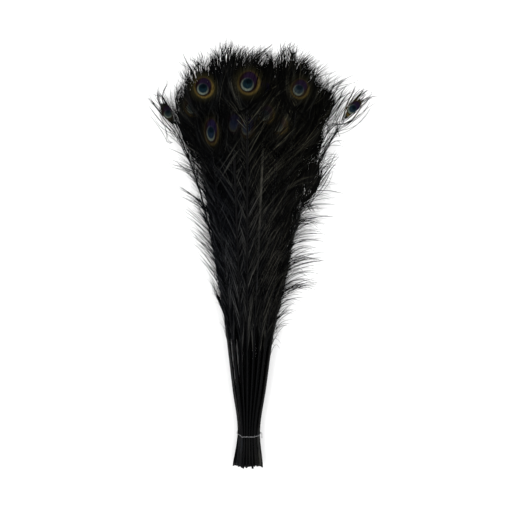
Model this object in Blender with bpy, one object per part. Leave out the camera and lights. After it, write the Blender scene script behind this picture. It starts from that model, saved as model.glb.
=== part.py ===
# A bunch of dyed peacock tail feathers, tied with wire near the cut ends and lying flat.
#
# The quills are packed in staggered layers where the wire holds them, and fan out from there.
# Every layer of feathers keeps to its own height above the surface. Within a layer each vane is
# tilted a little, so that it passes over the shaft of one neighbour and under that of the other.
#
# Y runs along the feathers from the cut ends towards the heads, and the stations below count it
# from the tie. Z is up from the surface that the bunch lies on. All sizes are in metres.

import math
import random

import bmesh
import bpy
import numpy as np
from mathutils import Vector

BUNCH_NAME = "peacock_feather_bunch"

# Quills under the tie: how many lie in each layer, from the surface up, and how far apart.
LAYER_COUNTS = (8, 9, 9, 9, 9, 8, 6)
QUILL_PITCH = 0.00475

# Heights along the bunch: station, height of the lowest layer, and height from layer to layer.
STATIONS = (-0.070, 0.000, 0.090, 0.200, 0.300, 0.400, 0.500, 0.600, 0.800)
LOWEST_LAYER = (0.0026, 0.0040, 0.0036, 0.0034, 0.0036, 0.0039, 0.0041, 0.0043, 0.0043)
LAYER_RISE = (0.0048, 0.0041, 0.0050, 0.0058, 0.0068, 0.0078, 0.0084, 0.0089, 0.0090)

# A feather: radius of its shaft at each station, and the slope of its tilted vane.
SHAFT_RADII = (0.00205, 0.00215, 0.00205, 0.00175, 0.00140, 0.00115, 0.00090, 0.00070, 0.00040)
VANE_SLOPE = (0.18, 0.18, 0.18, 0.18, 0.18, 0.145, 0.115, 0.092, 0.082)
QUILL_STATION = 0.090
VANE_START = 0.200
VANE_STATIONS = (0.300, 0.400)
VANE_HALF_THICKNESS = 0.00035
SHOULDER = 1.3
SHARP_ANGLE = math.radians(50)
BELOW_EYE = 0.095
ABOVE_EYE = 0.042
FRINGE_LENGTH = 0.078

# Half widths of a vane: at its start, further up, below the eye, at it, above it, and at the tip.
VANE_REACH = (0.003, 0.014, 0.022, 0.034, 0.044, 0.036, 0.014)

# The outer side of a layer's last feather reaches further, by a share that differs by layer.
LEFT_EDGE_REACH = (0.003, 0.018, 0.036, 0.042, 0.048, 0.040, 0.018)
RIGHT_EDGE_REACH = (0.003, 0.064, 0.072, 0.066, 0.052, 0.044, 0.018)
EDGE_SHARE = (0.75, 0.90, 1.00, 0.80, 1.00, 0.85, 0.70)

# The fan: where a feather would be, to the side, at this distance from the tie if its shaft were
# straight, and how much further it has bent to the side by there.
FAN_STATION = 0.690
FAN_LEFT = -0.100
FAN_RIGHT = 0.108
BEND_LEFT = -0.018
BEND_RIGHT = 0.026
BEND_POWER = 4.5
FAN_JITTER = 0.0018
EYE_RANGE = (0.590, 0.705)
EDGE_EYE_DROP = 0.030

# The cut ends spread again behind the tie, and one quill stands out from the rest.
END_SPREAD = 1.34
SHORTEST_END = -0.0605
LONGEST_END = -0.0675
STRAY_QUILL = (3, 0)
STRAY_OFFSET = -0.0045

# Feathers laid by hand, by layer and place in it: the eye's place to the side and along the bunch,
# and how much of its place to the side comes from the late bend of the shaft. They are the two
# that stand out at the sides, the right edge, and the two upper layers.
LAID = {
    (2, 0): (-0.159, 0.636, -0.061),
    (2, 8): (0.150, 0.662, 0.036),
    (3, 8): (0.204, 0.644, 0.092),
    (4, 8): (0.124, 0.586, 0.024),
    (5, 0): (-0.110, 0.644, -0.013),
    (5, 1): (-0.089, 0.680, -0.006),
    (5, 2): (-0.042, 0.700, 0.0),
    (5, 3): (-0.004, 0.602, 0.0),
    (5, 4): (0.028, 0.676, 0.0),
    (5, 5): (0.071, 0.700, 0.0),
    (5, 6): (0.098, 0.630, 0.008),
    (5, 7): (0.121, 0.508, 0.030),
    (6, 0): (-0.073, 0.592, 0.0),
    (6, 1): (-0.030, 0.608, 0.0),
    (6, 2): (-0.002, 0.687, 0.0),
    (6, 3): (0.032, 0.628, 0.0),
    (6, 4): (0.060, 0.606, 0.0),
    (6, 5): (0.097, 0.676, 0.004),
}

# The tie: soft wire drawn round the quills and twisted shut at the side.
WIRE_RADIUS = 0.00065
WIRE_GAP = 0.0003
WIRE_POINTS = 48
TWIST_RADIUS = 0.0012
TWIST_HEIGHT = 0.011
HEIGHT_WEIGHT = 0.3
# The twisted ends, from where they leave the loop: to the side, along the quills, and up.
TWIST_PATH = (
    (0.0, 0.0, 0.0),
    (0.0016, -0.0008, 0.0),
    (0.0028, -0.0030, -0.0003),
    (0.0028, -0.0070, -0.0008),
    (0.0030, -0.0130, -0.0012),
)

FEATHER_COLOUR = (0.012, 0.012, 0.012, 1.0)
WIRE_COLOUR = (0.55, 0.55, 0.56, 1.0)

chance = random.Random(20)


def clear_scene():
    for obj in list(bpy.data.objects):
        bpy.data.objects.remove(obj, do_unlink=True)


def make_material(name, colour, roughness, metallic):
    material = bpy.data.materials.new(name)
    material.use_nodes = True
    shader = material.node_tree.nodes["Principled BSDF"]
    shader.inputs["Base Color"].default_value = colour
    shader.inputs["Roughness"].default_value = roughness
    shader.inputs["Metallic"].default_value = metallic
    material.diffuse_color = colour
    return material


def at(station, values):
    """The value at a distance from the tie, on straight lines between the stations."""
    return float(np.interp(station, STATIONS, values))


def tie_place(layer, place):
    """How far to the side a quill is under the tie. Layers are staggered by half a pitch."""
    middle = (LAYER_COUNTS[layer] - 1) / 2
    lattice = 0.25 if layer % 2 == 0 else 0.75
    shift = (lattice + middle + 0.5) % 1 - 0.5
    return (place - middle + shift) * QUILL_PITCH


def height(layer, station):
    return at(station, LOWEST_LAYER) + layer * at(station, LAYER_RISE)


def edge_reach(layer, reach):
    """The wider reach of a layer's last feather, and no less than an ordinary one."""
    return [max(EDGE_SHARE[layer] * wide, plain) for wide, plain in zip(reach, VANE_REACH)]


def plan_feather(layer, place):
    """Where one feather lies: its quill, eye, bend, tilt, and how far its vane reaches."""
    count = LAYER_COUNTS[layer]
    start = tie_place(layer, place)
    if (layer, place) in LAID:
        side, eye, bend = LAID[layer, place]
    else:
        share = place / (count - 1)
        fan = FAN_LEFT + (FAN_RIGHT - FAN_LEFT) * share + chance.uniform(-1, 1) * FAN_JITTER
        eye = chance.uniform(*EYE_RANGE) - EDGE_EYE_DROP * abs(2 * share - 1) ** 2
        bend = BEND_LEFT + (BEND_RIGHT - BEND_LEFT) * share
        bend *= (eye / FAN_STATION) ** BEND_POWER
        side = start + (fan - start) * eye / FAN_STATION + bend
    return {
        "layer": layer,
        "start": start,
        "side": side,
        "eye": eye,
        "bend": bend,
        "slope": (side - bend - start + BEND_POWER * bend) / eye,
        "end": chance.uniform(LONGEST_END, SHORTEST_END),
        "stray": STRAY_OFFSET if (layer, place) == STRAY_QUILL else 0.0,
        "left": edge_reach(layer, LEFT_EDGE_REACH) if place == 0 else VANE_REACH,
        "right": edge_reach(layer, RIGHT_EDGE_REACH) if place == count - 1 else VANE_REACH,
        "outer": (place == 0, place == count - 1),
        "lean": 1 if layer % 2 == 0 else -1,
    }


def shaft_centre(plan, station):
    """Centre of the shaft at a distance from the tie. Behind the tie the ends spread again.

    From the tie it runs straight and bends to the side by a power of the distance. Past the eye
    it keeps the direction that it has there.
    """
    if station < 0:
        side = plan["start"] * (1 + (END_SPREAD - 1) * station / STATIONS[0])
        side += plan["stray"] * station / STATIONS[0]
    elif station > plan["eye"]:
        side = plan["side"] + plan["slope"] * (station - plan["eye"])
    else:
        along = station / plan["eye"]
        straight = plan["side"] - plan["bend"] - plan["start"]
        side = plan["start"] + straight * along + plan["bend"] * along**BEND_POWER
    return Vector((side, station, height(plan["layer"], station)))


def quill_ring(plan, station):
    """Eight points round the bare shaft."""
    centre = shaft_centre(plan, station)
    radius = at(station, SHAFT_RADII)
    turns = [math.tau * k / 8 for k in range(8)]
    return [centre + Vector((math.cos(a) * radius, 0, math.sin(a) * radius)) for a in turns]


def vane_ring(plan, station, left, right):
    """Eight points round the shaft and the flat vane on both its sides, tilted by the slope."""
    centre = shaft_centre(plan, station)
    radius = at(station, SHAFT_RADII)
    slope = at(station, VANE_SLOPE) * plan["lean"]
    shoulder = SHOULDER * radius
    # The outer side of a layer's last feather has no neighbour to clear, and lies level.
    left_drop = 0 if plan["outer"][0] else -left * slope
    right_rise = 0 if plan["outer"][1] else right * slope
    near = shoulder * slope
    thick = VANE_HALF_THICKNESS
    points = (
        (right, right_rise),
        (shoulder, near + thick),
        (0, radius),
        (-shoulder, -near + thick),
        (-left, left_drop),
        (-shoulder, -near - thick),
        (0, -radius),
        (shoulder, near - thick),
    )
    return [centre + Vector((x, 0, z)) for x, z in points]


def loft(name, rings):
    """A closed skin over rings that have the same number of points."""
    shape = bmesh.new()
    rows = [[shape.verts.new(point) for point in ring] for ring in rings]
    count = len(rings[0])
    for near, far in zip(rows, rows[1:]):
        for k in range(count):
            after = (k + 1) % count
            shape.faces.new((near[k], near[after], far[after], far[k]))
    shape.faces.new(rows[0])
    shape.faces.new(rows[-1])
    bmesh.ops.recalc_face_normals(shape, faces=shape.faces)
    # The quads of a tilting vane are warped, so each keeps one fixed diagonal.
    bmesh.ops.triangulate(shape, faces=shape.faces)
    mesh = bpy.data.meshes.new(name)
    shape.to_mesh(mesh)
    shape.free()
    mesh.shade_smooth()
    mesh.set_sharp_from_angle(angle=SHARP_ANGLE)
    return mesh


def build_feather(number, plan, material, collection):
    eye = plan["eye"]
    # A feather that leans to the side reaches less far both along the bunch and across it.
    foreshortened = 1 / math.hypot(1, plan["slope"])
    rings = [quill_ring(plan, station) for station in (plan["end"], 0.0, QUILL_STATION)]
    vane_stations = (
        VANE_START,
        *VANE_STATIONS,
        eye - BELOW_EYE,
        eye,
        eye + ABOVE_EYE * foreshortened,
        eye + FRINGE_LENGTH * foreshortened,
    )
    for station, left, right in zip(vane_stations, plan["left"], plan["right"]):
        rings.append(vane_ring(plan, station, left * foreshortened, right * foreshortened))
    name = f"feather_{number:02d}"
    obj = bpy.data.objects.new(name, loft(name, rings))
    obj.data.materials.append(material)
    collection.objects.link(obj)
    return obj


def tie_outline(plans):
    """Points of a loop drawn tight round the quills: for each direction, the outermost quill."""
    centres = [shaft_centre(plan, 0.0) for plan in plans]
    away = at(0.0, SHAFT_RADII) + WIRE_GAP + WIRE_RADIUS
    points = []
    for k in range(WIRE_POINTS):
        turn = math.tau * k / WIRE_POINTS
        normal = Vector((math.cos(turn), 0, math.sin(turn)))
        outermost = max(centres, key=lambda centre: centre.dot(normal))
        points.append(outermost + normal * away)
    return points


def add_wire(name, points, radius, cyclic, collection):
    curve = bpy.data.curves.new(name, "CURVE")
    curve.dimensions = "3D"
    curve.bevel_depth = radius
    curve.bevel_resolution = 2
    curve.use_fill_caps = not cyclic
    spline = curve.splines.new("POLY")
    spline.points.add(len(points) - 1)
    for point, place in zip(spline.points, points):
        point.co = (*place, 1.0)
    spline.use_cyclic_u = cyclic
    obj = bpy.data.objects.new(name, curve)
    collection.objects.link(obj)
    return obj


def curve_to_mesh(obj, collection):
    """The curve's own surface as a mesh object, with its caps welded on."""
    bpy.context.view_layer.update()
    mesh = bpy.data.meshes.new_from_object(obj.evaluated_get(bpy.context.evaluated_depsgraph_get()))
    shape = bmesh.new()
    shape.from_mesh(mesh)
    bmesh.ops.remove_doubles(shape, verts=shape.verts, dist=0.00001)
    bmesh.ops.recalc_face_normals(shape, faces=shape.faces)
    shape.to_mesh(mesh)
    shape.free()
    name = obj.name
    place = obj.matrix_world.copy()
    bpy.data.objects.remove(obj, do_unlink=True)
    mesh.name = name
    made = bpy.data.objects.new(name, mesh)
    made.matrix_world = place
    collection.objects.link(made)
    return made


def build_tie(plans, material, collection, helpers):
    """The wire loop, with its two ends twisted together and laid back along the quills."""
    outline = tie_outline(plans)
    loop = curve_to_mesh(add_wire("tie_wire", outline, WIRE_RADIUS, True, collection), collection)
    # The twist leaves the loop at the side, near its own height above the surface.
    root = max(outline, key=lambda p: p.x - HEIGHT_WEIGHT * abs(p.z - TWIST_HEIGHT))
    # It spreads as the quills beside it do.
    lean = (END_SPREAD - 1) * root.x / STATIONS[0]
    bend = [root + Vector((side + lean * along, along, up)) for side, along, up in TWIST_PATH]
    twist = curve_to_mesh(add_wire("tie_twist", bend, TWIST_RADIUS, False, helpers), helpers)
    twist.hide_render = True
    twist.display_type = "WIRE"
    union = loop.modifiers.new("twist", "BOOLEAN")
    union.operation = "UNION"
    union.object = twist
    loop.data.materials.append(material)
    return loop


def set_origin(objects, empty):
    """Moves the bunch so that its origin is at the middle of its underside."""
    corners = np.array([vertex.co for obj in objects for vertex in obj.data.vertices])
    low = corners.min(axis=0)
    high = corners.max(axis=0)
    empty.location = (-(low[0] + high[0]) / 2, -(low[1] + high[1]) / 2, -low[2])


def main():
    clear_scene()
    collection = bpy.data.collections.new(BUNCH_NAME)
    helpers = bpy.data.collections.new("cutters")
    bpy.context.scene.collection.children.link(collection)
    bpy.context.scene.collection.children.link(helpers)
    dyed = make_material("dyed_feather", FEATHER_COLOUR, 0.6, 0.0)
    metal = make_material("tie_wire", WIRE_COLOUR, 0.35, 1.0)

    plans = [
        plan_feather(layer, place)
        for layer, count in enumerate(LAYER_COUNTS)
        for place in range(count)
    ]
    objects = [
        build_feather(number, plan, dyed, collection)
        for number, plan in enumerate(plans, start=1)
    ]
    objects.append(build_tie(plans, metal, collection, helpers))

    empty = bpy.data.objects.new(BUNCH_NAME, None)
    collection.objects.link(empty)
    set_origin(objects, empty)
    for obj in objects + list(helpers.objects):
        obj.parent = empty


main()
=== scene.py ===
import math

import bpy
import numpy as np
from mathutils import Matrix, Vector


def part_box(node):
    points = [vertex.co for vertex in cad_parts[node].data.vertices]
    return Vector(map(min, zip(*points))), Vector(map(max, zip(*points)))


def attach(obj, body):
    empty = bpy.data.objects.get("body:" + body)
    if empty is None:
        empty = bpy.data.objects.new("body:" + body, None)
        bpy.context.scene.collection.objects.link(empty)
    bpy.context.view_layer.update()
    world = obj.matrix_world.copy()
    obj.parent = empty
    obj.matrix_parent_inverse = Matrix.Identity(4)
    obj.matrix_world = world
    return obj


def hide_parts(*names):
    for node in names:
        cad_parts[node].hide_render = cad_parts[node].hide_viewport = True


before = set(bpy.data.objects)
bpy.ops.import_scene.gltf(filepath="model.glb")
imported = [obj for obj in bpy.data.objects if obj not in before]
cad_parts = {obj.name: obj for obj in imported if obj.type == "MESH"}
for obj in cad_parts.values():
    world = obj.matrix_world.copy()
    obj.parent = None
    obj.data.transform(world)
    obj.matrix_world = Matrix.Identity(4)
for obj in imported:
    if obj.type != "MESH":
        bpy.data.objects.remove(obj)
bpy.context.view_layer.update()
featherNames = sorted(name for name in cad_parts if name.startswith("feather_"))
tieLow, tieHigh = (np.array(corner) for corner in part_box("tie_wire"))


# The rings of one feather's solid, one row a station along Y: middle x and z, how far the vane
# reaches to the left and right, its rise for each metre to either side, and the shaft's radius.
def readFeather(name):
    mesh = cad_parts[name].data
    points = np.empty(len(mesh.vertices) * 3, np.float32)
    mesh.vertices.foreach_get("co", points)
    points = points.reshape(-1, 3).astype(float)
    levels = np.unique(np.round(points[:, 1], 5))
    levels = levels[np.concatenate(([True], np.diff(levels) > 0.001))]
    rows = []
    for level in levels:
        ring = points[np.abs(points[:, 1] - level) < 0.0005]
        ring = ring[np.argsort(ring[:, 0])]
        middle = ring[1:-1].mean(axis=0)
        left = middle[0] - ring[0, 0]
        right = ring[-1, 0] - middle[0]
        radius = np.ptp(ring[1:-1, 2]) / 2
        rows.append((
            middle[0], middle[2], left, right,
            (middle[2] - ring[0, 2]) / left, (ring[-1, 2] - middle[2]) / right, radius,
        ))
    return levels, np.array(rows)


# The tie lies over the second ring of the solids, and the bunch's axis runs through its middle.
tieCentreY = float(np.median([readFeather(name)[0][1] for name in featherNames]))
axisX = float((tieLow[0] + tieHigh[0]) / 2)
print("scene: frame loaded,", len(featherNames), "feathers")


# Values between stations: cubic pieces whose slopes are the stations' own differences, carried on
# straight past both ends.
def betweenStations(levels, rows, y):
    slopes = np.gradient(rows, levels, axis=0)
    k = np.clip(np.searchsorted(levels, y) - 1, 0, len(levels) - 2)
    width = (levels[k + 1] - levels[k])[..., None]
    t = (np.clip(y, levels[0], levels[-1])[..., None] - levels[k][..., None]) / width
    value = (2 * t**3 - 3 * t**2 + 1) * rows[k] + (t**3 - 2 * t**2 + t) * width * slopes[k]
    value = value + (3 * t**2 - 2 * t**3) * rows[k + 1] + (t**3 - t**2) * width * slopes[k + 1]
    past = (y - np.clip(y, levels[0], levels[-1]))[..., None]
    ahead = np.where(past > 0, slopes[-1], slopes[0])
    ahead = ahead * (np.arange(rows.shape[1]) < 2)   # only the shaft's line runs on
    return value + ahead * past


featherPlan = {
    "vaneStart": 0.145,        # first barbs, counted from the tie
    "slimFrom": 0.215,         # where the shaft starts to get slimmer than its solid
    "slimBy": 0.38,
    "slimOver": 0.10,
    "shaftPastEye": 0.014,
    "tipOver": 0.09,           # length of the shaft's taper to its point, and how far past its
    "tipBeyond": 0.002,        # end the point would be
    "tipLeast": 0.12,
    "leastRadius": 0.00016,
    "shaftRings": 56,
    "shaftSides": 8,
    "quillHollow": 0.005,      # depth of the open end where the quill was cut
    "hollowRings": (0.05, 0.66, 0.74, 0.97),   # radii against the quill's, from the bottom up
    "cutBevel": 0.0004,
    "shaftLowest": 0.0002,
    "shaftTone": (0.05, 0.55),
    "quillPaler": 0.27,        # the cut end is this much paler, up to so far from it,
    "quillPaleTo": 0.075,
    "quillPaleOver": 0.02,     # where it fades over this length
    # how much paler the one glossy shaft is painted past where it slims: a painted highlight
    "paintedGlossPaler": 0.50,
    "seed": 4100,
    "tablePast": (0.01, 0.06), # how far the shaft's line runs on past both ends of the solid
    "tableSteps": 900,
    "leanStep": 0.001,
    "lean": (0.016, 0.013),    # how far the fringe leans to one side: its mean and spread
    "eyeRise": 0.075,          # how far from an eye the rise of the vane round it is felt
    "levelRise": 0.02,         # a side that rises less than this faces away from the bunch
    "middleShift": 0.008,      # how far left of the axis the bunch parts to the two sides
    "lowest": 0.0005,
}

# Loose barbs below the eye. The outer side of an outermost feather has mostly short barbs, and a
# few clumps of long ones, which stand out against the floor.
loosePlan = {
    "barbs": 280,              # on each side of the shaft
    "points": 10,
    "rootJitter": (-0.5, 1.5), # in steps from barb to barb
    "rootPower": 0.8,          # under 1, the barbs stand closer together towards the eye
    "readAhead": 0.9,          # a barb's reach is the solid's at this share of its way forward
    "forward": (0.052, 0.100), # how far a barb runs on along the shaft
    "innerReach": (1.30, 1.90),    # against the solid's: under other feathers, and on top
    "innerShare": (0.25, 1.00),
    "innerSweep": (0.92, 1.35),
    "innerCurl": (0.0, 0.25),
    "innerHalfWidth": (0.00020, 0.00040),
    "longClumps": 0.44,
    "longInClump": 0.32,
    "longShare": (0.45, 1.50),
    "longAtEnds": 0.80,        # long barbs are this much of their length at both ends of the vane
    "longerMidway": 0.45,      # and so much more halfway
    "longForward": (0.70, 1.10),
    "shortShare": (0.04, 0.20),
    "shortForward": 0.62,
    "shortHalfWidth": 0.0003,
    "rightBend": (1.05, 1.75),
    "leftBend": (0.90, 1.30),
    "rightCurl": (0.15, 0.78),
    "leftCurl": (0.0, 0.26),
    "hook": 0.010,
    "longHalfWidth": (0.00032, 0.00050),
    "thinned": 0.36,           # how many barbs are left on a feather that stands out
    "longStandingOut": 0.60,
    "paleSheenFrom": 0.68,          # the tone where a strand starts to be painted pale, a painted highlight for its sheen, and over what step
    "paleSheenStep": 0.15,
    "paleSheenWidth": 0.2,          # how much wider a pale strand, painted as a highlight, is
    "paleSheenLift": 0.0014,
    "lift": (-0.0030, 0.0038),
    "sink": 0.0005,
    "clump": (3, 10),
    "clumpShare": 0.60,
    "clumpPull": 0.62,         # how far the tips of a clump draw together
    "alike": {"inner": 0.36, "innerCurl": 0.4, "long": 0.8, "short": 0.3, "bend": 0.5, "tone": 0.25},
    "wave": 0.0016,
    "waveSize": (0.2, 1.0),
    "waveTurns": (3, 9),
    "waveStart": (0, 6),
    "rootWidth": 0.60,         # widths against the widest: at the root, and lost again at the tip
    "tipLoss": 0.40,
    "roll": 0.5,
}

# Barbs round the eye and on into the fringe. Angles are in degrees from the shaft.
eyePlan = {
    "barbs": 128,              # on each side of the shaft
    "points": 11,
    "rootJitter": 0.3,
    "clump": (4, 14),
    "lowestRoot": -0.064,
    "highestRoot": 0.013,
    "rootAngle": (54.0, 3.0),
    "fanAngle": 70.0,
    "fanLeast": 1.0,
    "fringe": 0.078,
    "length": (0.62, 1.26),    # of a fringe barb, against the whole fringe
    "stub": (0.37, 0.47),      # of a barb left out of the fringe
    "stubLeast": 0.35,
    "stubReach": 1.35,
    "stubBend": 0.8,
    "reach": 1.05,             # of the lowest barbs, against the solid
    "leastReach": 0.7,
    "tipRise": 0.002,
    "bendAt": 0.48,            # the control point, against the way from root to tip
    "shorterOffAxis": 1.3,     # how much shorter for each metre from the middle of the bunch
    "halfWidth": 0.00042,
    "fuller": 0.5,             # how much a fringe barb widens halfway out
    "narrower": 0.20,          # and how much narrower it is in all where it ends
    "tipWidths": (1.05, 0.80), # widths against the half width: at the root, and lost at the tip
    "ringMiddle": 0.004,
    "ringRadius": 0.025,
    "ringFade": 0.035,
    "clumpBend": 0.030,
    "clumpPull": 0.45,
    "alike": {"length": 0.75, "bend": 0.6, "lift": 0.7, "tone": 0.45},
    "lift": (-0.003, 0.004),
    "dome": 0.0010,            # the vane is domed round the eye: its rise and half width
    "domeHalf": 0.03,
    "above": 0.0004,
    "roll": 0.22,
    "rollJitter": 0.05,
    "tone": (0.0, 0.88),
    "bareBelow": -0.024,       # a feather that stands out keeps few eye barbs lower than this
    "keptBelow": 0.22,
    "shorter": 0.82,           # and those round its eye are this much shorter
}

# For each eye: how strongly it shows its colours, its gold ring and a blue cast; its size, and its
# length against an ordinary one; how many barbs run on past the rings as a fringe, and how far it
# stands up from the vane round it. Others have a faint eye or lie with their backs up.
eyeLook = {
    "feather_18": (0.80, 0.20, 0.0, 0.68, 1.0, 0.26, 0.010),
    "feather_26": (0.0, 0.0, 0.0, 0.55, 1.0, 0.25, 0.0),
    "feather_35": (0.95, 0.95, 0.2, 0.70, 1.15, 0.34, 0.008),
    "feather_44": (0.0, 0.0, 0.0, 0.6, 1.0, 0.30, 0.0),
    "feather_45": (0.55, 0.50, 0.2, 0.9, 1.0, 0.50, 0.001),
    "feather_46": (1.0, 1.15, 0.1, 0.92, 1.0, 0.68, 0.006),
    "feather_47": (0.0, 0.0, 0.0, 1.0, 1.0, 0.95, 0.0),
    "feather_48": (0.62, 0.15, 0.9, 0.80, 1.25, 0.45, 0.0086),
    "feather_49": (0.8, 0.2, 0.6, 0.8, 1.0, 0.65, 0.002),
    "feather_50": (0.0, 0.0, 0.0, 1.0, 1.0, 0.85, 0.002),
    "feather_51": (0.0, 0.0, 0.0, 1.0, 1.0, 0.45, 0.0),
    "feather_52": (0.0, 0.0, 0.0, 0.75, 1.1, 0.25, 0.003),
    "feather_53": (0.95, 0.30, 0.55, 0.68, 1.75, 0.45, 0.007),
    "feather_54": (0.34, 0.0, 1.0, 0.75, 1.3, 0.40, 0.0),
    "feather_55": (1.0, 0.80, 0.0, 1.04, 1.0, 0.72, 0.006),
    "feather_56": (0.50, 0.60, 0.1, 0.85, 1.0, 0.45, 0.0),
    "feather_57": (0.30, 1.2, 0.0, 0.8, 1.0, 0.45, 0.0),
    "feather_58": (0.80, 0.50, 0.3, 0.88, 1.0, 0.68, 0.006),
}
plainEye = (0.5, 0.5, 0.3, 0.9, 1.0, 0.55, 0.0)   # every other feather, with its eye shown or not
# The shaft painted paler along its upper part, as a painted highlight for its gloss.
paintedGlossShaft = "feather_56"
standingOut = ("feather_18", "feather_35")   # thin on both sides, and apart from the rest
topLayers = [f"feather_{k}" for k in range(45, 59)]


class Feather:
    # A feather's line and looks: a table of the distance run along its shaft for each y, summed
    # over short straight steps, with distances along it then counted from the eye.
    def __init__(self, name, number):
        plan = featherPlan
        self.rng = np.random.default_rng(plan["seed"] + number)
        self.levels, self.rows = readFeather(name)
        eyeRing = len(self.levels) - 3
        # The solid lies level only on the side that faces away from the bunch.
        self.outer = {
            side: abs(self.rows[eyeRing, column]) < plan["levelRise"]
            for side, column in ((-1, 4), (1, 5))
        }
        before, after = plan["tablePast"]
        table = np.linspace(self.levels[0] - before, self.levels[-1] + after, plan["tableSteps"])
        path = betweenStations(self.levels, self.rows, table)
        steps = np.sqrt(np.diff(table) ** 2 + np.diff(path[:, 0]) ** 2 + np.diff(path[:, 1]) ** 2)
        self.tableY = table
        self.tableS = np.concatenate(([0], np.cumsum(steps)))
        self.eyeS = np.interp(self.levels[eyeRing], table, self.tableS)
        marks = (tieCentreY + plan["vaneStart"], tieCentreY + plan["slimFrom"], self.levels[0])
        self.startV, self.slimV, self.endV = np.interp(marks, table, self.tableS) - self.eyeS
        shown = self.rng.choice((0.0, plainEye[0]))
        look = eyeLook.get(name, (shown, *plainEye[1:]))
        self.strength, self.gold, self.blue, self.size, self.stretch = look[:5]
        self.fringeKept, self.eyeLift = look[5:]
        self.lean = self.rng.normal(*plan["lean"])
        self.standsOut = name in standingOut
        if self.standsOut:
            self.outer = {-1: True, 1: True}
        self.onTop = name in topLayers
        # Barbs that lead away from the middle of the bunch lie over those that lead towards it.
        away = 1 if self.rows[eyeRing, 0] > axisX - plan["middleShift"] else -1
        self.rows[:, 4:6] = away * np.abs(self.rows[:, 4:6])

    # The y and the station values where the shaft has run v past the eye.
    def at(self, v):
        y = np.interp(self.eyeS + v, self.tableS, self.tableY)
        return y, betweenStations(self.levels, self.rows, y)

    # From the flat feather to its place in the bunch: v runs along the shaft from the eye, u at a
    # right angle to it, rising by the vane's slope, and h straight up. Round a raised eye the vane
    # rises as exp(-(v / reach)^2).
    def lay(self, u, v, h):
        y, row = self.at(v)
        step = featherPlan["leanStep"]
        ahead = betweenStations(self.levels, self.rows, y + step)
        lean = (ahead[..., 0] - row[..., 0]) / step
        across = 1 / np.sqrt(1 + lean**2)
        rise = np.where(u < 0, row[..., 4], row[..., 5])
        x = row[..., 0] + u * across
        z = row[..., 1] + u * rise + h + self.eyeLift * np.exp(-((v / featherPlan["eyeRise"]) ** 2))
        return np.stack((x, y - u * across * lean, np.maximum(z, featherPlan["lowest"])), axis=-1)


# Vertices and faces of many ribbons at once. A ribbon follows a line of flat points, is widened
# at a right angle to it by its half width, and is rolled by raising one edge and lowering the
# other, so that neighbours overlap like shingles.
def ribbons(feather, u, v, h, halfWidth, roll):
    du = np.gradient(u, axis=1)
    dv = np.gradient(v, axis=1)
    length = np.sqrt(du**2 + dv**2) + 1e-9
    across = np.stack((-dv / length, du / length), axis=-1) * halfWidth[..., None]
    tip = roll[:, None] * halfWidth
    left = feather.lay(u + across[..., 0], v + across[..., 1], h + tip)
    right = feather.lay(u - across[..., 0], v - across[..., 1], h - tip)
    count, steps = u.shape
    points = np.stack((left, right), axis=2).reshape(-1, 3)
    flat = np.stack((u, v, np.zeros_like(u)), axis=-1)
    flat = np.repeat(flat[:, :, None, :], 2, axis=2).reshape(-1, 3)
    first = (np.arange(count)[:, None] * steps + np.arange(steps - 1)[None, :]) * 2
    quads = np.stack((first + 1, first + 3, first + 2, first), axis=-1).reshape(-1, 4)
    return points, flat, quads


# Values for each barb: (1 - share) of its own chance plus share of its clump's, each from 0 to 1,
# then stretched between the two limits.
def clumped(rng, count, limits, clumps, share):
    own = rng.random(count)
    shared = rng.random(clumps.max() + 1)[clumps]
    mixed = (1 - share) * own + share * shared
    return limits[0] + (limits[1] - limits[0]) * mixed


# The number of the clump that each barb belongs to: 0 as often as the first clump has barbs, then
# 1, and so on, with each clump's size drawn between the two sizes.
def clumpNumbers(rng, count, sizes):
    return np.repeat(np.arange(count), rng.integers(sizes[0], sizes[1], count))[:count]


# The mean of each clump's values, given back to its members.
def clumpMean(values, clumps):
    return (np.bincount(clumps, values) / np.maximum(np.bincount(clumps), 1))[clumps]


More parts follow.
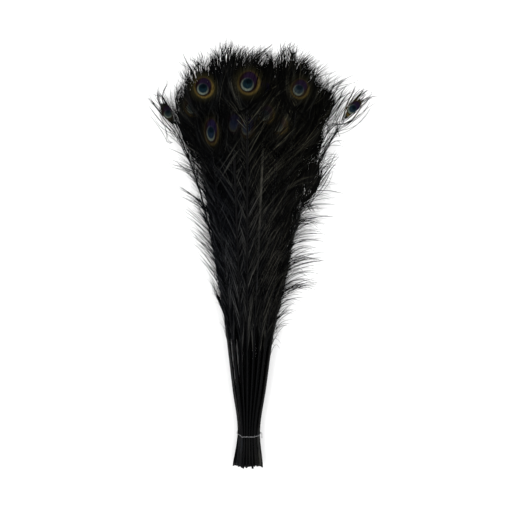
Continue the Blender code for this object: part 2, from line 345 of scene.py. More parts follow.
# Loose barbs of one side, with t from 0 at the root to 1 at the tip. An inner barb goes out as
# 1 - (1 - t)^sweep, so it turns along the shaft, and an outer one as t^bend, so it turns away from
# it. Forward, a barb goes t - curl t^2, and the tips of a clump are drawn towards the clump's
# middle in step with t. A hook turns a long barb's tip aside as t^5.
def looseBarbs(feather, side):
    plan = loosePlan
    rng = feather.rng
    count = plan["barbs"]
    clumps = clumpNumbers(rng, count, plan["clump"])
    share = plan["clumpShare"]
    alike = plan["alike"]
    spacing = np.clip((np.arange(count) + rng.uniform(*plan["rootJitter"], count)) / count, 0, 1)
    root = feather.startV + (eyePlan["lowestRoot"] - feather.startV) * spacing ** plan["rootPower"]
    t = np.linspace(0, 1, plan["points"])[None, :]
    forward = clumped(rng, count, plan["forward"], clumps, share)
    hook = np.zeros((count, 1))
    if feather.outer[side]:
        inLongClump = rng.random(clumps.max() + 1)[clumps] < plan["longClumps"]
        isLong = inLongClump & (rng.random(count) < plan["longInClump"])
        if feather.standsOut:
            isLong = rng.random(count) < plan["longStandingOut"] * inLongClump
        longShare = clumped(rng, count, plan["longShare"], clumps, alike["long"])
        longShare = longShare * (plan["longAtEnds"] + plan["longerMidway"] * np.sin(np.pi * spacing))
        shortShare = clumped(rng, count, plan["shortShare"], clumps, alike["short"])
        reachShare = np.where(isLong, longShare, shortShare)
        longForward = rng.uniform(*plan["longForward"], count)
        forward = forward * np.where(isLong, longForward, plan["shortForward"])
        bend = plan["leftBend"] if side < 0 else plan["rightBend"]
        course = t ** clumped(rng, count, bend, clumps, alike["bend"])[:, None]
        curlRange = plan["leftCurl"] if side < 0 else plan["rightCurl"]
        curl = clumped(rng, count, curlRange, clumps, alike["bend"])[:, None]
        hook = plan["hook"] * clumped(rng, count, (-1, 1), clumps, alike["bend"])
        hook = np.where(isLong, hook, 0)[:, None]
        longHalfWidth = rng.uniform(*plan["longHalfWidth"], count)
        width = np.where(isLong, longHalfWidth, plan["shortHalfWidth"])[:, None]
    else:
        reachShare = clumped(rng, count, plan["innerShare"], clumps, alike["inner"])
        reachShare = reachShare * plan["innerReach"][feather.onTop]
        course = 1 - (1 - t) ** clumped(rng, count, plan["innerSweep"], clumps, share)[:, None]
        curl = clumped(rng, count, plan["innerCurl"], clumps, alike["innerCurl"])[:, None]
        width = rng.uniform(*plan["innerHalfWidth"], (count, 1))
    reach = feather.at(root + forward * plan["readAhead"])[1][:, 2 if side < 0 else 3] * reachShare
    pull = plan["clumpPull"] * (clumpMean(root, clumps) - root)
    ripple = rng.uniform(*plan["waveSize"], (count, 1)) * plan["wave"]
    turns = rng.uniform(*plan["waveTurns"], (count, 1))
    ripple = ripple * np.sin(t * turns + rng.uniform(*plan["waveStart"], (count, 1)))
    u = reach[:, None] * course + ripple * t + hook * t**5
    v = root[:, None] + forward[:, None] * (t - curl * t**2) + pull[:, None] * t
    v = v - np.abs(hook) * t**5
    tone = clumped(rng, count, (0, 1), clumps, alike["tone"])
    # A strand of high tone is painted pale by the tone ramp, a painted highlight for its sheen; on
    # sides that lie in the bunch such strands are also made wider and lifted.
    pale = np.clip((tone - plan["paleSheenFrom"]) / plan["paleSheenStep"], 0, 1)[:, None]
    pale = pale * (not feather.outer[side])
    width = width * (1 + plan["paleSheenWidth"] * pale)
    lift = clumped(rng, count, plan["lift"], clumps, share)[:, None] + plan["paleSheenLift"] * pale
    h = lift * t**1.5 - plan["sink"] * t
    belly = np.sin(np.pi * np.clip(t * 1.1 + 0.1, 0, 1))
    taper = plan["rootWidth"] + (1 - plan["rootWidth"]) * belly - plan["tipLoss"] * t**4
    roll = rng.uniform(-plan["roll"], plan["roll"], count)
    kept = rng.random(count) < (plan["thinned"] if feather.standsOut else 1)
    return [values[kept] for values in (side * u, v, h, width * taper, roll, tone)]


# Eye barbs of one side: quadratic curves 2t(1 - t) bend + t^2 tip from the shaft to an oval
# outline. The lowest leave it at a wide angle and end beside the eye, and the highest run straight
# on to the tip. Those left out of the fringe stop just past the rings.
def eyeBarbs(feather, side):
    plan = eyePlan
    rng = feather.rng
    count = plan["barbs"]
    alike = plan["alike"]
    jitter = rng.uniform(-plan["rootJitter"], plan["rootJitter"], count)
    j = np.clip((np.arange(count) + jitter) / (count - 1), 0, 1)
    clumps = clumpNumbers(rng, count, plan["clump"])
    root = plan["lowestRoot"] + (plan["highestRoot"] - plan["lowestRoot"]) * j
    wide, narrow = plan["rootAngle"]
    leave = np.radians(wide * (1 - j) ** 0.8 + narrow)
    fan = np.radians(plan["fanAngle"] * (1 - j) ** 1.15 + plan["fanLeast"])
    inFringe = rng.random(count) < feather.fringeKept
    drawn = fan + plan["clumpPull"] * (clumpMean(fan, clumps) - fan)
    fan = np.where(inFringe, drawn, fan)
    atEye = feather.at(np.zeros(1))[1][0]
    reach = atEye[2 if side < 0 else 3] * plan["reach"]
    length = clumped(rng, count, plan["length"], clumps, alike["length"])
    length = length * (1 - plan["shorterOffAxis"] * abs(atEye[0] - axisX))
    stub = rng.uniform(*plan["stub"], count)
    stub = stub * (plan["stubLeast"] + (1 - plan["stubLeast"]) * feather.size)
    stub = stub * (plan["shorter"] if feather.standsOut else 1)
    length = np.where(inFringe, length, stub)
    fullness = np.where(inFringe, np.maximum(length, plan["leastReach"]), stub * plan["stubReach"])
    tipU = reach * np.sin(fan) ** 0.9 * fullness
    tipV = plan["tipRise"] + plan["fringe"] * length * np.cos(fan)
    distance = np.hypot(tipU, tipV - root) * plan["bendAt"]
    bendU = distance * np.sin(leave) * np.where(inFringe, 1, plan["stubBend"])
    bendV = root + distance * np.cos(leave)
    t = np.linspace(0, 1, plan["points"])[None, :]
    u = 2 * t * (1 - t) * bendU[:, None] + t**2 * tipU[:, None]
    v = (1 - t) ** 2 * root[:, None] + 2 * t * (1 - t) * bendV[:, None] + t**2 * tipV[:, None]
    pastRings = np.hypot(u, v - plan["ringMiddle"]) - plan["ringRadius"] * feather.size
    outside = np.clip(pastRings / plan["ringFade"], 0, 1)
    bendLimits = (-plan["clumpBend"], plan["clumpBend"])
    bend = clumped(rng, count, bendLimits, clumps, alike["bend"])[:, None]
    lean = np.clip(v / plan["fringe"], 0, 1) ** 3 * feather.lean
    u = side * u + bend * outside**2.2 + lean
    lift = clumped(rng, count, plan["lift"], clumps, alike["lift"])[:, None]
    dome = plan["dome"] * (1 - (u / plan["domeHalf"]) ** 2)
    h = dome * (1 - outside) + lift * outside**1.2 + plan["above"]
    fuller = 1 + plan["fuller"] * outside * (1 - outside)
    atRoot, lostAtTip = plan["tipWidths"]
    taper = (1 - plan["narrower"] * outside) * (atRoot - lostAtTip * t**5)
    halfWidth = plan["halfWidth"] * fuller * taper
    roll = plan["roll"] * side + rng.uniform(-plan["rollJitter"], plan["rollJitter"], count)
    tone = clumped(rng, count, plan["tone"], clumps, alike["tone"])
    kept = (root > plan["bareBelow"]) | (rng.random(count) < plan["keptBelow"])
    kept |= not feather.standsOut
    return [values[kept] for values in (u, v, h, halfWidth, roll, tone)]


# Three quads close the octagon at each end of a tube with eight sides: the first cap faces back
# along the tube, and the second, turned round, faces on along it.
def endCaps(rings, sides):
    cap = np.array([[0, 1, 2, 3], [0, 3, 4, 7], [4, 5, 6, 7]])
    return np.vstack((cap, cap[:, ::-1] + (rings - 1) * sides))


# Quads of a tube, from each point of a ring to the next ring, where the last point is followed by
# the first. A closed tube's last ring is followed by its first, and an open one has end caps.
def tubeQuads(rings, sides, closed):
    k, s = np.meshgrid(np.arange(rings if closed else rings - 1), np.arange(sides), indexing="ij")
    near = k * sides
    far = (k + 1) % rings * sides
    after = (s + 1) % sides
    quads = np.stack((near + s, far + s, far + after, near + after), axis=-1).reshape(-1, 4)
    return quads if closed else np.vstack((quads, endCaps(rings, sides)))


# The shaft: a round tube from the open cut end of the quill to just past the eye, where it
# closes in a point. Its radius is the solid's times two straight tapers. Its first rings turn in
# to make the hollow of the quill.
def shaftTube(feather):
    plan = featherPlan
    past = plan["shaftPastEye"]
    along = np.linspace(feather.endV, past, plan["shaftRings"])
    y, row = feather.at(along)
    slim = 1 - plan["slimBy"] * np.clip((along - feather.slimV) / plan["slimOver"], 0, 1)
    tip = np.clip((past + plan["tipBeyond"] - along) / plan["tipOver"], plan["tipLeast"], 1)
    radius = np.maximum(row[:, 6] * slim * tip, plan["leastRadius"])
    depth = np.array([plan["quillHollow"], plan["quillHollow"], 0.0, 0.0])
    along[0] += plan["cutBevel"]
    along = np.concatenate((feather.endV + depth, along))
    radius = np.concatenate((radius[0] * np.array(plan["hollowRings"]), radius))
    turn = np.linspace(0, 2 * np.pi, plan["shaftSides"], endpoint=False)
    level = np.zeros(len(along))
    centre = feather.lay(level, along, level)
    side = np.stack((np.cos(turn), np.zeros_like(turn), np.sin(turn)), axis=-1)
    points = centre[:, None, :] + side[None, :, :] * radius[:, None, None]
    rings, sides = points.shape[:2]
    flat = np.repeat(np.stack((level, along, level), axis=-1)[:, None, :], sides, axis=1)
    points[..., 2] = np.maximum(points[..., 2], plan["shaftLowest"])
    return points.reshape(-1, 3), flat.reshape(-1, 3), tubeQuads(rings, sides, False)


# A mesh of four-sided faces, each with its own material number. Face k starts at corner 4k.
def makeMesh(name, points, quads, materials, materialIndex):
    mesh = bpy.data.meshes.new(name)
    mesh.vertices.add(len(points))
    mesh.vertices.foreach_set("co", points.astype(np.float32).ravel())
    mesh.loops.add(quads.size)
    mesh.loops.foreach_set("vertex_index", quads.astype(np.int32).ravel())
    mesh.polygons.add(len(quads))
    mesh.polygons.foreach_set("loop_start", np.arange(len(quads), dtype=np.int32) * 4)
    mesh.polygons.foreach_set("material_index", materialIndex.astype(np.int32))
    mesh.polygons.foreach_set("use_smooth", np.ones(len(quads), bool))
    for material in materials:
        mesh.materials.append(material)
    mesh.update(calc_edges=True)
    return mesh


# One value or vector for each vertex, for the materials to read.
def setAttribute(mesh, name, kind, values):
    attribute = mesh.attributes.new(name, kind, "POINT")
    field = "vector" if kind == "FLOAT_VECTOR" else "value"
    attribute.data.foreach_set(field, values.astype(np.float32).ravel())


# An object that holds the given mesh, light or camera, in the scene at the origin.
def placeObject(name, data):
    obj = bpy.data.objects.new(name, data)
    bpy.context.scene.collection.objects.link(obj)
    return obj


# One feather: the barbs of both sides and the shaft in one mesh, each part's vertex numbers
# raised by the vertices before it. The eye's place is (u / size, v / (size * stretch), strength).
def makeFeather(name, number, materials):
    plan = featherPlan
    feather = Feather(name, number)
    parts = []
    for side in (-1, 1):
        for build in (looseBarbs, eyeBarbs):
            u, v, h, halfWidth, roll, tone = build(feather, side)
            points, flat, quads = ribbons(feather, u, v, h, halfWidth, roll)
            parts.append((points, flat, quads, np.repeat(tone, u.shape[1] * 2), 0))
    points, flat, quads = shaftTube(feather)
    shaftTone = np.full(len(points), feather.rng.uniform(*plan["shaftTone"]))
    nearCut = (feather.endV + plan["quillPaleTo"] - flat[:, 1]) / plan["quillPaleOver"]
    shaftTone += plan["quillPaler"] * np.clip(nearCut, 0, 1)
    # That one shaft is painted paler past where it slims: a painted highlight for its gloss.
    if name == paintedGlossShaft:
        slimmed = np.clip((flat[:, 1] - feather.slimV) / plan["slimOver"], 0, 1)
        shaftTone += plan["paintedGlossPaler"] * slimmed
    parts.append((points, flat, quads, shaftTone, 1))
    start = np.cumsum([0] + [len(part[0]) for part in parts])
    points = np.concatenate([part[0] for part in parts])
    flat = np.concatenate([part[1] for part in parts])
    tone = np.concatenate([part[3] for part in parts])
    quads = np.concatenate([part[2] + base for part, base in zip(parts, start)])
    slots = np.concatenate([np.full(len(part[2]), part[4]) for part in parts])
    mesh = makeMesh(name + "_barbs", points, quads, materials, slots)
    flat[:, 0] /= feather.size
    flat[:, 1] /= feather.size * feather.stretch
    flat[:, 2] = feather.strength
    setAttribute(mesh, "eyePlace", "FLOAT_VECTOR", flat)
    setAttribute(mesh, "tone", "FLOAT", tone)
    cast = np.tile((feather.gold, feather.blue, 0.0), (len(points), 1))
    setAttribute(mesh, "eyeCast", "FLOAT_VECTOR", cast)
    return placeObject(name + "_barbs", mesh)


# A material with a Principled shader and its plain values.
def simpleMaterial(name, colour, roughness, metallic, specular):
    material = bpy.data.materials.new(name)
    material.use_nodes = True
    shader = material.node_tree.nodes["Principled BSDF"]
    shader.inputs["Base Color"].default_value = (*colour, 1)
    shader.inputs["Roughness"].default_value = roughness
    shader.inputs["Metallic"].default_value = metallic
    shader.inputs["Specular IOR Level"].default_value = specular
    return material, material.node_tree, shader


# Ovals of the eye from the outside in: middle, half width and half height on the flat feather,
# how soft the edge is against its size, and colour. A ring with a bright side names its direction
# and how much is left of it on the side across from that.
markingPlan = {
    "olive": (0.0020, 0.0030, 0.0270, 0.0280, 0.36, (0.0100, 0.0090, 0.0038), None, 1.0),
    "gold": (0.0024, 0.0024, 0.0212, 0.0226, 0.13, (0.0620, 0.0430, 0.0120), (0.35, -0.94), 0.30),
    "darkOval": (0.0016, 0.0036, 0.0176, 0.0202, 0.12, (0.0044, 0.0018, 0.0021), None, 1.0),
    "purple": (0.0048, 0.0094, 0.0126, 0.0124, 0.30, (0.0074, 0.0036, 0.0108), None, 1.0),
    "rim": (0.0, -0.0004, 0.0124, 0.0126, 0.10, (0.076, 0.092, 0.074), (-0.50, -0.86), 0.10),
    "disc": (0.0002, 0.0006, 0.0097, 0.0096, 0.13, (0.0030, 0.0094, 0.0130), None, 1.0),
    "discTop": (0.0014, 0.0050, 0.0076, 0.0052, 0.45, (0.0006, 0.0024, 0.0038), None, 1.0),
}
# A blue eye's own colours, and how much of its pale rim it loses.
blueCast = {"disc": (0.0024, 0.0048, 0.0160), "purple": (0.0030, 0.0038, 0.0140)}
blueDulls = 0.75
# Barbs differ in brightness round the eye: how much by their tone, and the shift of it.
eyeStreak = (1.3, -0.56)


# An empty node group with the given sockets, its input node and its output node.
def newGroup(name, inputs, outputs):
    group = bpy.data.node_groups.new(name, "ShaderNodeTree")
    for label, kind in inputs:
        group.interface.new_socket(label, in_out="INPUT", socket_type=kind)
    for label, kind in outputs:
        group.interface.new_socket(label, in_out="OUTPUT", socket_type=kind)
    return group, group.nodes.new("NodeGroupInput"), group.nodes.new("NodeGroupOutput")


# A Math node's result. MULTIPLY_ADD gives a * b + c, and the others leave c out.
def mathNode(tree, operation, a, b, c=0.0):
    node = tree.nodes.new("ShaderNodeMath")
    node.operation = operation
    for socket, value in zip(node.inputs, (a, b, c)):
        if isinstance(value, (int, float)):
            socket.default_value = value
        else:
            tree.links.new(value, socket)
    return node.outputs[0]


# A Vector Math node's result: a number for a length or a dot product, or else a vector.
def vectorNode(tree, operation, a, b):
    node = tree.nodes.new("ShaderNodeVectorMath")
    node.operation = operation
    for socket, value in zip(node.inputs, (a, b)):
        if isinstance(value, tuple):
            socket.default_value = value
        elif value is not None:
            tree.links.new(value, socket)
    return node.outputs["Value" if operation in ("LENGTH", "DOT_PRODUCT") else "Vector"]


# Colour a where the factor is 0 and b where it is 1: a + factor * (b - a).
def mixColour(tree, factor, a, b):
    node = tree.nodes.new("ShaderNodeMix")
    node.data_type = "RGBA"
    for socket, value in ((node.inputs[0], factor), (node.inputs[6], a), (node.inputs[7], b)):
        if isinstance(value, tuple):
            socket.default_value = (*value, 1)
        elif isinstance(value, (int, float)):
            socket.default_value = value
        else:
            tree.links.new(value, socket)
    return node.outputs[2]


# A soft step from 0 at the first limit to 1 at the second: 3x^2 - 2x^3.
def fade(tree, value, low, high):
    node = tree.nodes.new("ShaderNodeMapRange")
    node.interpolation_type = "SMOOTHSTEP"
    node.inputs["From Min"].default_value = low
    node.inputs["From Max"].default_value = high
    tree.links.new(value, node.inputs["Value"])
    return node.outputs["Result"]


# Eye marking: ovals laid over each other from the outside in, each where its own scaled distance
# from its centre is under 1. The place is the flat feather's, and strength fades them all. A bright
# side fades as the scaled place's product with its direction goes from 1 to -1.
def markingGroup():
    group, source, sink = newGroup(
        "eyeMarking",
        (
            ("Body", "NodeSocketColor"), ("Place", "NodeSocketVector"),
            ("Tone", "NodeSocketFloat"), ("Cast", "NodeSocketVector"),
        ),
        (("Color", "NodeSocketColor"),),
    )
    split = group.nodes.new("ShaderNodeSeparateXYZ")
    group.links.new(source.outputs["Place"], split.inputs[0])
    cast = group.nodes.new("ShaderNodeSeparateXYZ")
    group.links.new(source.outputs["Cast"], cast.inputs[0])
    flatPlace = vectorNode(group, "MULTIPLY", source.outputs["Place"], (1.0, 1.0, 0.0))
    colour = source.outputs["Body"]
    for name, (cx, cy, rx, ry, soft, shade, bright, least) in markingPlan.items():
        centred = vectorNode(group, "SUBTRACT", flatPlace, (cx, cy, 0.0))
        scaled = vectorNode(group, "DIVIDE", centred, (rx, ry, 1.0))
        mask = fade(group, vectorNode(group, "LENGTH", scaled, None), 1 + soft, 1 - soft)
        mask = mathNode(group, "MULTIPLY", mask, split.outputs["Z"])
        if name == "olive":
            wholeEye = mask
        if bright:
            facing = fade(group, vectorNode(group, "DOT_PRODUCT", scaled, (*bright, 0.0)), -1, 1)
            facing = mathNode(group, "MULTIPLY_ADD", facing, 1 - least, least)
            mask = mathNode(group, "MULTIPLY", mask, facing)
        if name in ("olive", "gold"):
            mask = mathNode(group, "MULTIPLY", mask, cast.outputs["X"])
        if name == "rim":
            dull = mathNode(group, "MULTIPLY_ADD", cast.outputs["Y"], -blueDulls, 1.0)
            mask = mathNode(group, "MULTIPLY", mask, dull)
        if name in blueCast:
            shade = mixColour(group, cast.outputs["Y"], shade, blueCast[name])
        colour = mixColour(group, mask, colour, shade)
    # Some barbs show the colours of the eye more brightly than others: 1 + streak * whole eye.
    streak = mathNode(group, "MULTIPLY_ADD", source.outputs["Tone"], *eyeStreak)
    streak = mathNode(group, "MULTIPLY_ADD", streak, wholeEye, 1.0)
    scale = group.nodes.new("ShaderNodeVectorMath")
    scale.operation = "SCALE"
    group.links.new(colour, scale.inputs[0])
    group.links.new(streak, scale.inputs["Scale"])
    group.links.new(scale.outputs["Vector"], sink.inputs["Color"])
    return group


# Pale strands, random in tone and painted pale as highlights for their sheen, are cooler on the left
# of the bunch, warmer on the right and golden near the eyes.
dyeAndSheenPlan = {
    "coolTint": (0.92, 1.00, 1.22),
    "warmTint": (1.03, 1.02, 0.92),
    "goldTint": (1.14, 1.09, 0.70),
    "goldShare": 0.45,
    "coolToWarm": (-0.09, 0.06),   # to the side of the bunch's axis
    "blackToGold": (0.42, 0.60),   # past the tie
    "patchScale": 26,
    "patchDetail": 2,
    "patchSpread": 0.18,
    # The colour at each tone, which differs at random from strand to strand: from dyed black to the
    # palest strands, whose pale colour is a painted highlight for their sheen.
    "tones": (
        (0.0, (0.0004, 0.0004, 0.0005)), (0.45, (0.0010, 0.0011, 0.0014)),
        (0.60, (0.0034, 0.0034, 0.0032)), (0.72, (0.0074, 0.0080, 0.0092)),
        (0.84, (0.0235, 0.0230, 0.0205)), (1.0, (0.0500, 0.0485, 0.0450)),
    ),
}


# Dye and painted sheen: the tone plus spread * (2 * noise - 1), looked up in the tones and times
# the tint of the place, which runs from cool to warm across the bunch and partly to gold along it.
# The palest tones are painted highlights for the sheen of single strands.
def dyeAndSheenGroup():
    plan = dyeAndSheenPlan
    group, source, sink = newGroup(
        "dyedStrandAndSheen",
        (("Tone", "NodeSocketFloat"), ("Place", "NodeSocketVector")),
        (("Color", "NodeSocketColor"),),
    )
    noise = group.nodes.new("ShaderNodeTexNoise")
    noise.inputs["Scale"].default_value = plan["patchScale"]
    noise.inputs["Detail"].default_value = plan["patchDetail"]
    group.links.new(source.outputs["Place"], noise.inputs["Vector"])
    spread = plan["patchSpread"]
    wander = mathNode(group, "MULTIPLY_ADD", noise.outputs["Fac"], 2 * spread, -spread)
    tone = mathNode(group, "ADD", source.outputs["Tone"], wander)
    ramp = group.nodes.new("ShaderNodeValToRGB")
    group.links.new(tone, ramp.inputs["Fac"])
    while len(ramp.color_ramp.elements) < len(plan["tones"]):
        ramp.color_ramp.elements.new(0.5)
    for element, (place, shade) in zip(ramp.color_ramp.elements, plan["tones"]):
        element.position = place
        element.color = (*shade, 1)
    split = group.nodes.new("ShaderNodeSeparateXYZ")
    group.links.new(source.outputs["Place"], split.inputs[0])
    warmth = fade(group, split.outputs["X"], *(axisX + x for x in plan["coolToWarm"]))
    tint = mixColour(group, warmth, plan["coolTint"], plan["warmTint"])
    nearEyes = fade(group, split.outputs["Y"], *(tieCentreY + y for y in plan["blackToGold"]))
    golden = mathNode(group, "MULTIPLY", nearEyes, plan["goldShare"])
    tint = mixColour(group, golden, tint, plan["goldTint"])
    tinted = vectorNode(group, "MULTIPLY", ramp.outputs["Color"], tint)
    group.links.new(tinted, sink.inputs["Color"])
    return group


# A node that holds a group.
def addGroup(tree, group):
    node = tree.nodes.new("ShaderNodeGroup")
    node.node_tree = group
    return node


# A node that reads what setAttribute wrote.
def readAttribute(tree, name):
    node = tree.nodes.new("ShaderNodeAttribute")
    node.attribute_name = name
    return node


# Roughness: middle + spread * (2 * noise - 1).
def varyRoughness(tree, shader, where, scale, middle, spread):
    noise = tree.nodes.new("ShaderNodeTexNoise")
    noise.inputs["Scale"].default_value = scale
    tree.links.new(where.outputs["Object"], noise.inputs["Vector"])
    rough = mathNode(tree, "MULTIPLY_ADD", noise.outputs["Fac"], 2 * spread, middle - spread)
    tree.links.new(rough, shader.inputs["Roughness"])
    return noise


# Roughness and specular level of each part of a feather, and the noise in its roughness.
featherFinish = {
    "barbs": (0.60, 0.004),
    "shaft": (0.30, 0.045),
    "roughScale": 140,
    "roughSpread": 0.12,
}


# Dye with its painted strand highlights first, then the eye's colours over it.
def featherMaterial(name, dyeAndSheen, marking, roughness, specular):
    plan = featherFinish
    material, tree, shader = simpleMaterial(name, (0.01, 0.01, 0.01), roughness, 0, specular)
    where = tree.nodes.new("ShaderNodeTexCoord")
    varyRoughness(tree, shader, where, plan["roughScale"], roughness, plan["roughSpread"])
    strand = addGroup(tree, dyeAndSheen)
    tone = readAttribute(tree, "tone")
    tree.links.new(tone.outputs["Fac"], strand.inputs["Tone"])
    tree.links.new(where.outputs["Object"], strand.inputs["Place"])
    eye = addGroup(tree, marking)
    tree.links.new(strand.outputs["Color"], eye.inputs["Body"])
    tree.links.new(readAttribute(tree, "eyePlace").outputs["Vector"], eye.inputs["Place"])
    tree.links.new(tone.outputs["Fac"], eye.inputs["Tone"])
    tree.links.new(readAttribute(tree, "eyeCast").outputs["Vector"], eye.inputs["Cast"])
    tree.links.new(eye.outputs["Color"], shader.inputs["Base Color"])
    return material


wireFinish = {
    "roughness": (0.34, 0.10),
    "grainScale": 900,
    "dullMetal": (0.16, 0.16, 0.17),
    "brightMetal": (0.36, 0.36, 0.37),
    "bump": (0.15, 0.0001),    # strength, and depth of the grain
}


# Drawn wire: one noise moves its colour between two greys, its roughness and its bump.
def wireMaterial():
    plan = wireFinish
    roughness, spread = plan["roughness"]
    material, tree, shader = simpleMaterial("softWire", plan["brightMetal"], roughness, 1.0, 0.5)
    where = tree.nodes.new("ShaderNodeTexCoord")
    noise = varyRoughness(tree, shader, where, plan["grainScale"], roughness, spread)
    colour = mixColour(tree, noise.outputs["Fac"], plan["dullMetal"], plan["brightMetal"])
    tree.links.new(colour, shader.inputs["Base Color"])
    bump = tree.nodes.new("ShaderNodeBump")
    bump.inputs["Strength"].default_value, bump.inputs["Distance"].default_value = plan["bump"]
    tree.links.new(noise.outputs["Fac"], bump.inputs["Height"])
    tree.links.new(bump.outputs["Normal"], shader.inputs["Normal"])
    return material


wirePlan = {
    "strandRadius": 0.00032,
    "twistRadius": 0.00030,
    "sag": 0.0045,             # how far the loop slips towards the cut ends on top
    "turnLength": 0.0045,
    "clearance": 0.00095,
    "pastMiddle": 0.0005,
    "directions": 96,
    "spacing": 0.0004,         # between the rings of a strand
    "sides": 8,
    "guide": (0.12, 1.0, 0.05),
    "lowest": 0.0001,
    # The twisted ends, from the loop's side: to the side, along the quills, and up.
    "tail": (
        (0.0, 0.0, 0.0), (0.0016, -0.0008, 0.0), (0.0028, -0.0030, -0.0003),
        (0.0028, -0.0070, -0.0008), (0.0030, -0.0125, -0.0012),
    ),
    "tailHeight": 0.011,       # it leaves the loop at the side, near this height
    "heightWeight": 0.3,
    "tailLean": 0.006,         # how far the tail drifts to the side with the quills
    "tailTurn": 0.0022,
}


# A round tube carried along a path: path + radius * (cos(a) * side + sin(a) * up), with side and
# up at right angles to the path. The guide is a direction that no strand follows for long.
def tubeAlong(path, radius, sides, closed):
    if closed:
        ahead = np.roll(path, -1, axis=0) - np.roll(path, 1, axis=0)
    else:
        ahead = np.gradient(path, axis=0)
    ahead /= np.linalg.norm(ahead, axis=1, keepdims=True)
    guide = np.tile(np.array(wirePlan["guide"]), (len(path), 1))
    side = np.cross(ahead, guide)
    side /= np.linalg.norm(side, axis=1, keepdims=True)
    up = np.cross(side, ahead)
    turn = np.linspace(0, 2 * np.pi, sides, endpoint=False)
    ring = np.cos(turn)[None, :, None] * side[:, None, :]
    ring = ring + np.sin(turn)[None, :, None] * up[:, None, :]
    points = path[:, None, :] + ring * radius
    return points.reshape(-1, 3), tubeQuads(len(path), sides, closed)


# The middle line of the wire: in each direction it clears the outermost quill by that quill's
# radius and the clearance, and it sags towards the cut ends on top.
def tieLoop():
    plan = wirePlan
    centres = []
    for name in featherNames:
        levels, rows = readFeather(name)
        row = rows[np.argmin(np.abs(levels - tieCentreY))]
        centres.append((row[0], row[1], row[6]))
    centres = np.array(centres)
    turn = np.linspace(0, 2 * np.pi, plan["directions"], endpoint=False)
    normal = np.stack((np.cos(turn), np.sin(turn)), axis=-1)
    outermost = np.argmax(normal @ centres[:, :2].T, axis=1)
    away = centres[outermost, 2] + plan["clearance"]
    place = centres[outermost, :2] + normal * away[:, None]
    y = tieCentreY + plan["pastMiddle"] - plan["sag"] * np.maximum(normal[:, 1], 0) ** 1.5
    return np.stack((place[:, 0], y, place[:, 1]), axis=-1)


# Evenly spaced points on a path, found by the distance run along its straight pieces, and its
# length.
def evenly(path, spacing, closed):
    whole = np.vstack((path, path[:1])) if closed else path
    run = np.concatenate(([0], np.cumsum(np.linalg.norm(np.diff(whole, axis=0), axis=1))))
    count = int(run[-1] / spacing)
    want = np.linspace(0, run[-1], count, endpoint=not closed)
    return np.stack([np.interp(want, run, whole[:, axis]) for axis in range(3)], axis=-1), run[-1]


# Two strands that wind round a path, opposite each other: path + twist radius * (cos(phase) *
# first + sin(phase) * second).
def strands(path, first, second, turns, closed):
    phase = np.linspace(0, 2 * np.pi * turns, len(path), endpoint=not closed)
    pieces = []
    for start in (0, np.pi):
        swing = np.cos(phase + start)[:, None] * first + np.sin(phase + start)[:, None] * second
        strand = path + wirePlan["twistRadius"] * swing
        pieces.append(tubeAlong(strand, wirePlan["strandRadius"], wirePlan["sides"], closed))
    return pieces


# The tie: a twisted loop, and a twisted tail from its outermost point near the tail's height.
def makeTie(material):
    plan = wirePlan
    loop, length = evenly(tieLoop(), plan["spacing"], True)
    outward = loop - loop.mean(axis=0)
    outward[:, 1] = 0
    outward /= np.linalg.norm(outward, axis=1, keepdims=True)
    along = np.array([0.0, 1.0, 0.0])
    pieces = strands(loop, outward, along, round(length / plan["turnLength"]), True)
    tail = np.array(plan["tail"])
    offHeight = plan["heightWeight"] * np.abs(loop[:, 2] - plan["tailHeight"])
    root = loop[np.argmax(loop[:, 0] - offHeight)]
    tail = root + tail - tail[:, 1:2] * (plan["tailLean"], 0.0, 0.0)
    tail, length = evenly(tail, plan["spacing"], False)
    sideways = np.array([1.0, 0.0, 0.0])
    upwards = np.array([0.0, 0.0, 1.0])
    pieces += strands(tail, sideways, upwards, length / plan["tailTurn"], False)
    start = np.cumsum([0] + [len(points) for points, quads in pieces])
    points = np.concatenate([points for points, quads in pieces])
    points[:, 2] = np.maximum(points[:, 2], plan["lowest"])
    quads = np.concatenate([piece[1] + base for piece, base in zip(pieces, start)])
    mesh = makeMesh("wire_tie", points, quads, [material], np.zeros(len(quads)))
    return placeObject("wire_tie", mesh)


studioPlan = {
    "floorSize": 8.0,
    "floorShade": (0.93, 0.93, 0.93),
    "floorRoughness": (0.9, 0.05),
    "floorGrain": 3,
    "cameraPastTie": 0.3545,
    "cameraToSide": 0.012,
    "cameraHeight": 1.440,
    "lens": 50.0,
    "sensor": 36.0,
    "worldStrength": 0.90,
    # Soft lights turned to the middle of the floor: name, place, size and power.
    "lights": (
        ("keyLight", (-1.6, 0.6, 2.2), 1.6, 46),
        ("fillLight", (1.7, -0.2, 2.0), 1.8, 38),
    ),
}


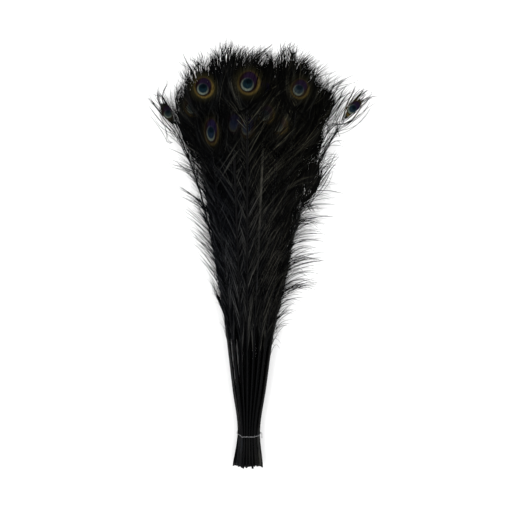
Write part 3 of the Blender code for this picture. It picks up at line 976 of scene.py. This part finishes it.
# A square floor, even light from all round, two soft lights, and the camera above the bunch,
# looking straight down. A light at x, y, z is tipped by the arctangent of its distance from the
# z axis over z, and then turned about that axis by the arctangent of y over x.
def makeStudio():
    plan = studioPlan
    half = plan["floorSize"] / 2
    corners = half * np.array([(-1, -1, 0), (1, -1, 0), (1, 1, 0), (-1, 1, 0)], float)
    roughness, spread = plan["floorRoughness"]
    material, tree, shader = simpleMaterial("paleFloor", plan["floorShade"], roughness, 0, 0.1)
    where = tree.nodes.new("ShaderNodeTexCoord")
    varyRoughness(tree, shader, where, plan["floorGrain"], roughness, spread)
    mesh = makeMesh("floor", corners, np.array([[0, 1, 2, 3]]), [material], np.zeros(1))
    placeObject("floor", mesh)

    world = bpy.data.worlds.new("studio")
    world.use_nodes = True
    background = world.node_tree.nodes["Background"]
    background.inputs["Color"].default_value = (1, 1, 1, 1)
    background.inputs["Strength"].default_value = plan["worldStrength"]
    bpy.context.scene.world = world

    for name, (x, y, z), size, power in plan["lights"]:
        light = bpy.data.lights.new(name, "AREA")
        light.size = size
        light.energy = power
        lamp = placeObject(name, light)
        lamp.location = (x, y, z)
        lamp.rotation_euler = (0, math.atan2(math.hypot(x, y), z), math.atan2(y, x))

    camera = bpy.data.cameras.new("camera")
    camera.lens = plan["lens"]
    camera.sensor_width = plan["sensor"]
    view = placeObject("camera", camera)
    view.location = (
        axisX + plan["cameraToSide"],
        tieCentreY + plan["cameraPastTie"],
        plan["cameraHeight"],
    )
    bpy.context.scene.camera = view
    bpy.context.scene.view_settings.view_transform = "Standard"


dyeAndSheen = dyeAndSheenGroup()
marking = markingGroup()
barbFinish = featherMaterial("dyedBarbs", dyeAndSheen, marking, *featherFinish["barbs"])
shaftFinish = featherMaterial("dyedShaft", dyeAndSheen, marking, *featherFinish["shaft"])
for number, name in enumerate(featherNames):
    piece = makeFeather(name, number, [barbFinish, shaftFinish])
    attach(piece, "root")
    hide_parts(name)
print("scene: feathers made")

tie = makeTie(wireMaterial())
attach(tie, "root")
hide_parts("tie_wire")
print("scene: tie made")

makeStudio()
print("scene: studio made")
